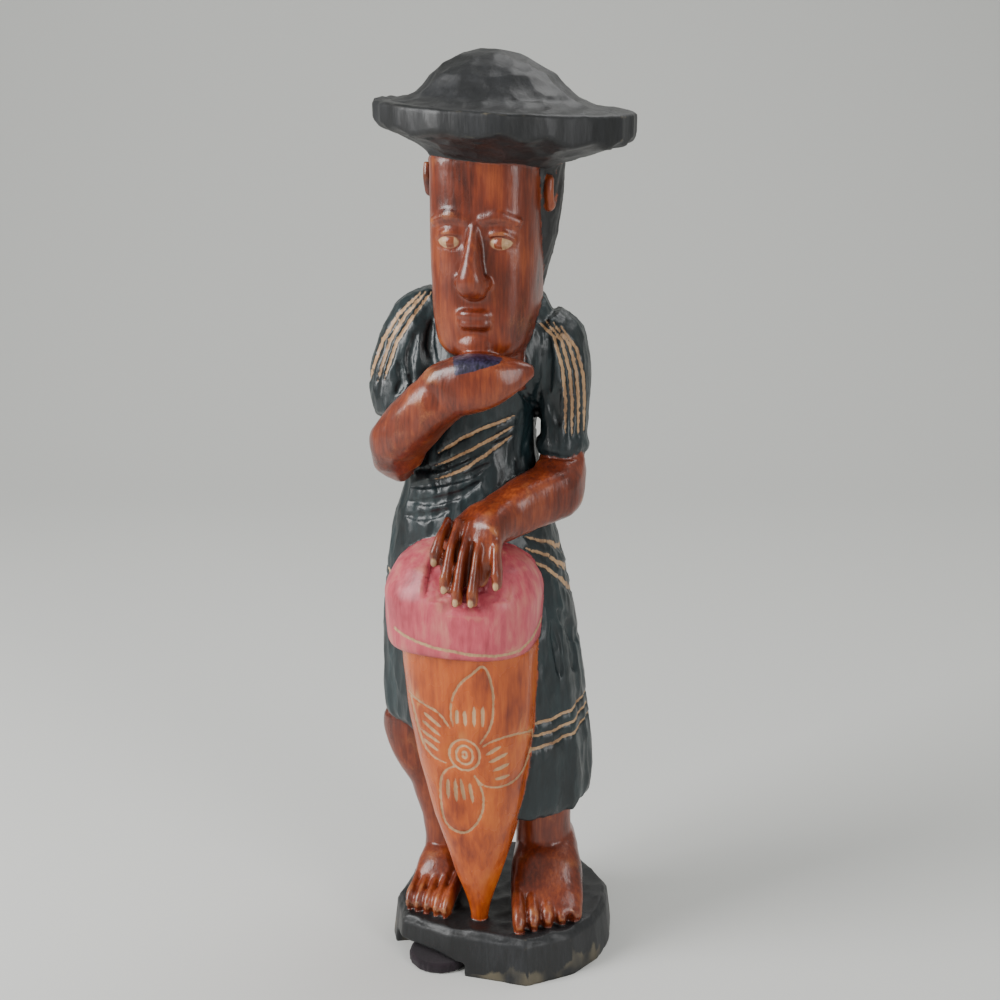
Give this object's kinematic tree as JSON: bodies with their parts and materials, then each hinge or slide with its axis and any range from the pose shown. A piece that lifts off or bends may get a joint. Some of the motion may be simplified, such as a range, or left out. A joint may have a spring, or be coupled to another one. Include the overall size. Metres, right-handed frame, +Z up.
{
  "type": "carved wooden drummer figure",
  "caption": "Standing figure in a wide hat and long tunic, one fist under the chin and one hand on a tapered drum, carved with its base from one log.",
  "frame": {"origin": "on the underside of the base, under the middle of the figure, at the level the base stands on", "axes": "+Z up along the figure, -Y the way the figure faces, +X the figure's left"},
  "size_m": [0.1856, 0.179, 0.66],
  "materials": {
    "painted_wood": "carved wood, stained red-brown, rose and amber and painted black and dark green, glossy varnish",
    "felt": "dark matt felt"
  },
  "bodies": {
    "root": {"drummer_figure": "painted_wood", "levelling_pad": "felt"}
  },
  "joints": []
}
